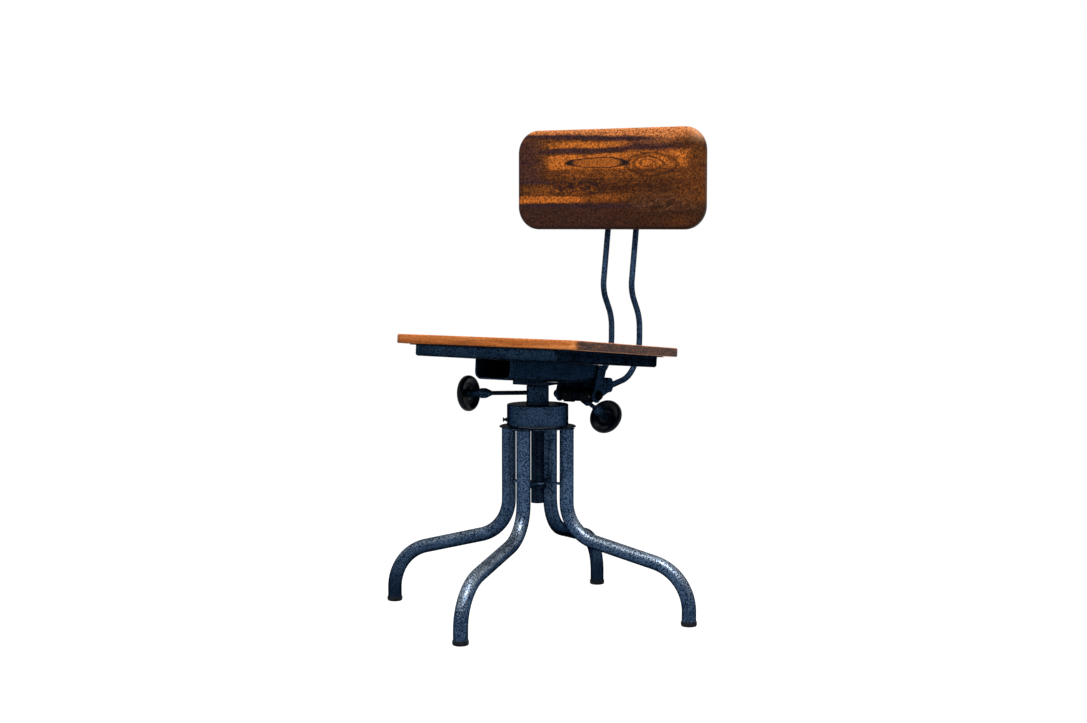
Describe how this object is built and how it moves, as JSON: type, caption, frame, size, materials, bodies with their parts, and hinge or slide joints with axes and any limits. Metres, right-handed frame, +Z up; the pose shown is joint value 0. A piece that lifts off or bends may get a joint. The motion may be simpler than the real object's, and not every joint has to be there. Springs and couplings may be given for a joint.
{
  "type": "swivel chair",
  "caption": "Wooden-seated swivel chair on bent tube legs, with a screw-locked seat height and a sprung, adjustable backrest on bent rods.",
  "frame": {"origin": "on the floor, under the middle of the chair's bounding box", "axes": "+Z up; the chair faces -Y, so the backrest is towards +Y; +X is to the left of a person who sits on it, and the height handwheel is on the -X side"},
  "size_m": [0.632, 0.673, 0.9318],
  "materials": {
    "paint": "semi-gloss blue-grey paint, worn thin on the bends",
    "dark_steel": "dark paint",
    "bright_steel": "turned and oiled",
    "brass": "turned",
    "spring_steel": "oil-blackened wire",
    "black_plastic": "moulded, polished by use",
    "rubber": "matte",
    "seat_wood": "satin varnish, orange-brown",
    "back_wood": "satin varnish, dark brown with orange streaks"
  },
  "bodies": {
    "base": {"leg_front": "paint", "ferrule_front": "rubber", "leg_left": "paint", "ferrule_left": "rubber", "leg_rear": "paint", "ferrule_rear": "rubber", "leg_right": "paint", "ferrule_right": "rubber", "leg_flange": "paint", "leg_brace": "paint", "race_lower": "bright_steel"},
    "ball_cage": {"ball_cage": "bright_steel"},
    "swivel": {"race_upper": "bright_steel", "swivel_collar": "paint", "grease_nipple": "dark_steel", "swivel_tube": "dark_steel", "clamp_boss": "paint", "retaining_nut": "dark_steel"},
    "height_pad": {"height_pad": "brass"},
    "height_lock": {"height_screw": "dark_steel", "height_hub": "paint", "height_handwheel": "black_plastic", "height_wheel_nut": "dark_steel"},
    "seat": {"spindle": "bright_steel", "spindle_head": "dark_steel", "hanger_left": "paint", "hanger_right": "paint", "seat_board": "seat_wood", "seat_tray": "paint", "beam": "paint", "seat_screw_1": "dark_steel", "seat_screw_2": "dark_steel", "seat_screw_3": "dark_steel", "seat_screw_4": "dark_steel", "back_spring_left": "spring_steel", "back_spring_right": "spring_steel"},
    "back_shaft": {"back_shaft": "bright_steel", "shaft_nut_left": "dark_steel", "shaft_nut_right": "dark_steel"},
    "back_arm": {"back_arm": "paint", "rod_left": "paint", "rod_right": "paint", "set_screw_left": "dark_steel", "set_screw_right": "dark_steel", "pivot_bar": "dark_steel"},
    "rake_pad": {"rake_pad": "brass"},
    "rake_lock": {"rake_screw": "dark_steel", "rake_hub": "paint", "rake_handwheel": "black_plastic", "rake_wheel_nut": "dark_steel"},
    "backrest": {"back_bracket": "dark_steel", "back_board": "back_wood", "back_screw_1": "dark_steel", "back_screw_2": "dark_steel", "back_screw_3": "dark_steel", "back_screw_4": "dark_steel"}
  },
  "joints": [
    {"name": "swivel_turn", "type": "hinge", "parent": "base", "child": "swivel", "pos_m": [0, -0.01832, 0.38], "axis": [0, 0, 1], "continuous": true},
    {"name": "cage_turn", "type": "hinge", "parent": "base", "child": "ball_cage", "pos_m": [0, -0.01832, 0.372], "axis": [0, 0, 1], "continuous": true},
    {"name": "height_pad_slide", "type": "slide", "parent": "swivel", "child": "height_pad", "axis": [-0.9984, 0, -0.0558], "range_m": [0, 0.003]},
    {"name": "height_wheel_turn", "type": "hinge", "parent": "height_pad", "child": "height_lock", "pos_m": [0, -0.01832, 0.422], "axis": [-0.9984, 0, -0.0558], "range_deg": [0, 720]},
    {"name": "seat_height", "type": "slide", "parent": "swivel", "child": "seat", "axis": [0, 0, 1], "range_m": [0, 0.1]},
    {"name": "back_give", "type": "hinge", "parent": "seat", "child": "back_shaft", "pos_m": [0, 0.13569, 0.406], "axis": [-1, 0, 0], "range_deg": [0, 12], "stiffness_Nm_per_rad": 120, "springref_deg": -6.88},
    {"name": "back_rake", "type": "hinge", "parent": "back_shaft", "child": "back_arm", "pos_m": [0, 0.13569, 0.406], "axis": [-1, 0, 0], "range_deg": [-6, 10]},
    {"name": "rake_pad_slide", "type": "slide", "parent": "back_arm", "child": "rake_pad", "axis": [0, 0.9018, -0.4321], "range_m": [0, 0.003]},
    {"name": "rake_wheel_turn", "type": "hinge", "parent": "rake_pad", "child": "rake_lock", "pos_m": [0, 0.13569, 0.406], "axis": [0, 0.9018, -0.4321], "range_deg": [0, 720]},
    {"name": "backrest_tilt", "type": "hinge", "parent": "back_arm", "child": "backrest", "pos_m": [0, 0.31649, 0.82], "axis": [-1, 0, 0], "range_deg": [-12, 12]}
  ],
  "couplings": [
    {"joint": "cage_turn", "follows": "swivel_turn", "ratio": 0.5},
    {"joint": "height_wheel_turn", "follows": "height_pad_slide", "rad_per_m": 4188.8},
    {"joint": "rake_wheel_turn", "follows": "rake_pad_slide", "rad_per_m": 4188.8}
  ]
}
